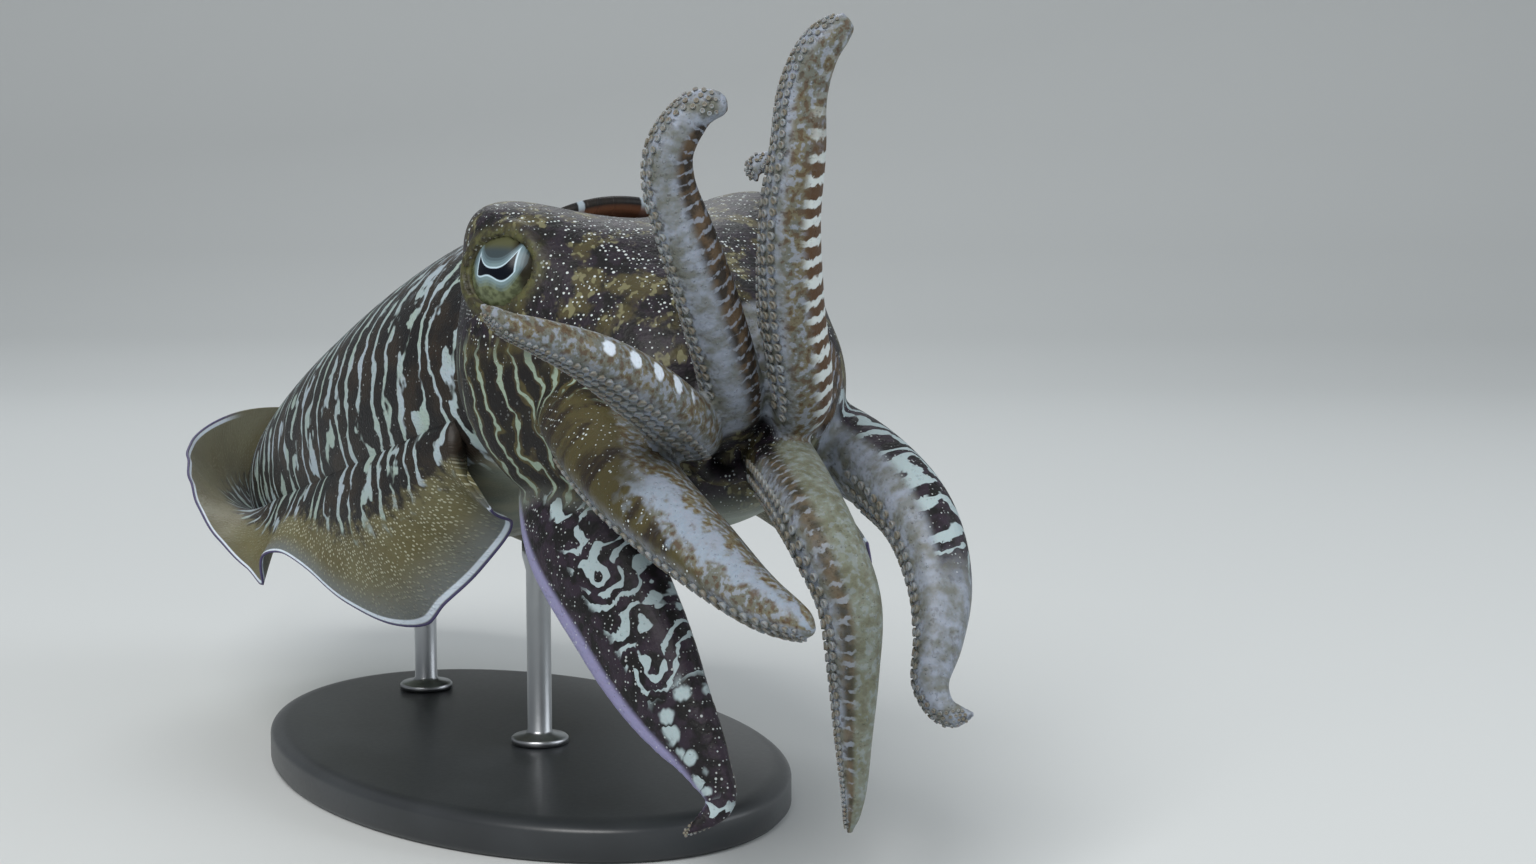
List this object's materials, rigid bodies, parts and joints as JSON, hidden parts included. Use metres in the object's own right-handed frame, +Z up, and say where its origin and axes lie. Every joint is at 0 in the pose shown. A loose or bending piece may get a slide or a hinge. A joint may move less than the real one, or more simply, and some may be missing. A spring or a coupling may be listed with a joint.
{
  "type": "cuttlefish model",
  "caption": "Life-size model of a common cuttlefish hovering with its arms spread, fins rippling, held over an oval base by short rods.",
  "frame": {"origin": "centre of the display base's underside", "axes": "+Z up; the animal heads towards -Y with its tail towards +Y; +X is the animal's left"},
  "size_m": [0.164, 0.3763, 0.1891],
  "materials": {
    "body": "moist satin skin, dark purple-brown with pale bands and dots",
    "fin": "moist thin membrane, olive-beige with cream dots",
    "arm": "moist satin skin, banded outside, lilac-white inside",
    "eye": "wet gloss",
    "stand": "dark satin paint"
  },
  "bodies": {
    "root": {"arm_left_1_base": "arm", "arm_left_1_tip": "arm", "arm_left_2_base": "arm", "arm_left_2_tip": "arm", "arm_left_3_base": "arm", "arm_left_3_tip": "arm", "arm_left_4_base": "arm", "arm_left_4_tip": "arm", "arm_right_1_base": "arm", "arm_right_1_tip": "arm", "arm_right_2_base": "arm", "arm_right_2_tip": "arm", "arm_right_3_base": "arm", "arm_right_3_tip": "arm", "arm_right_4_base": "arm", "arm_right_4_tip": "arm", "eye_left": "eye", "eye_right": "eye", "fin_left": "fin", "fin_right": "fin", "funnel": "body", "head": "body", "mantle": "body", "stand_base": "stand", "stand_rod_front": "stand", "stand_rod_rear": "stand"}
  },
  "joints": []
}
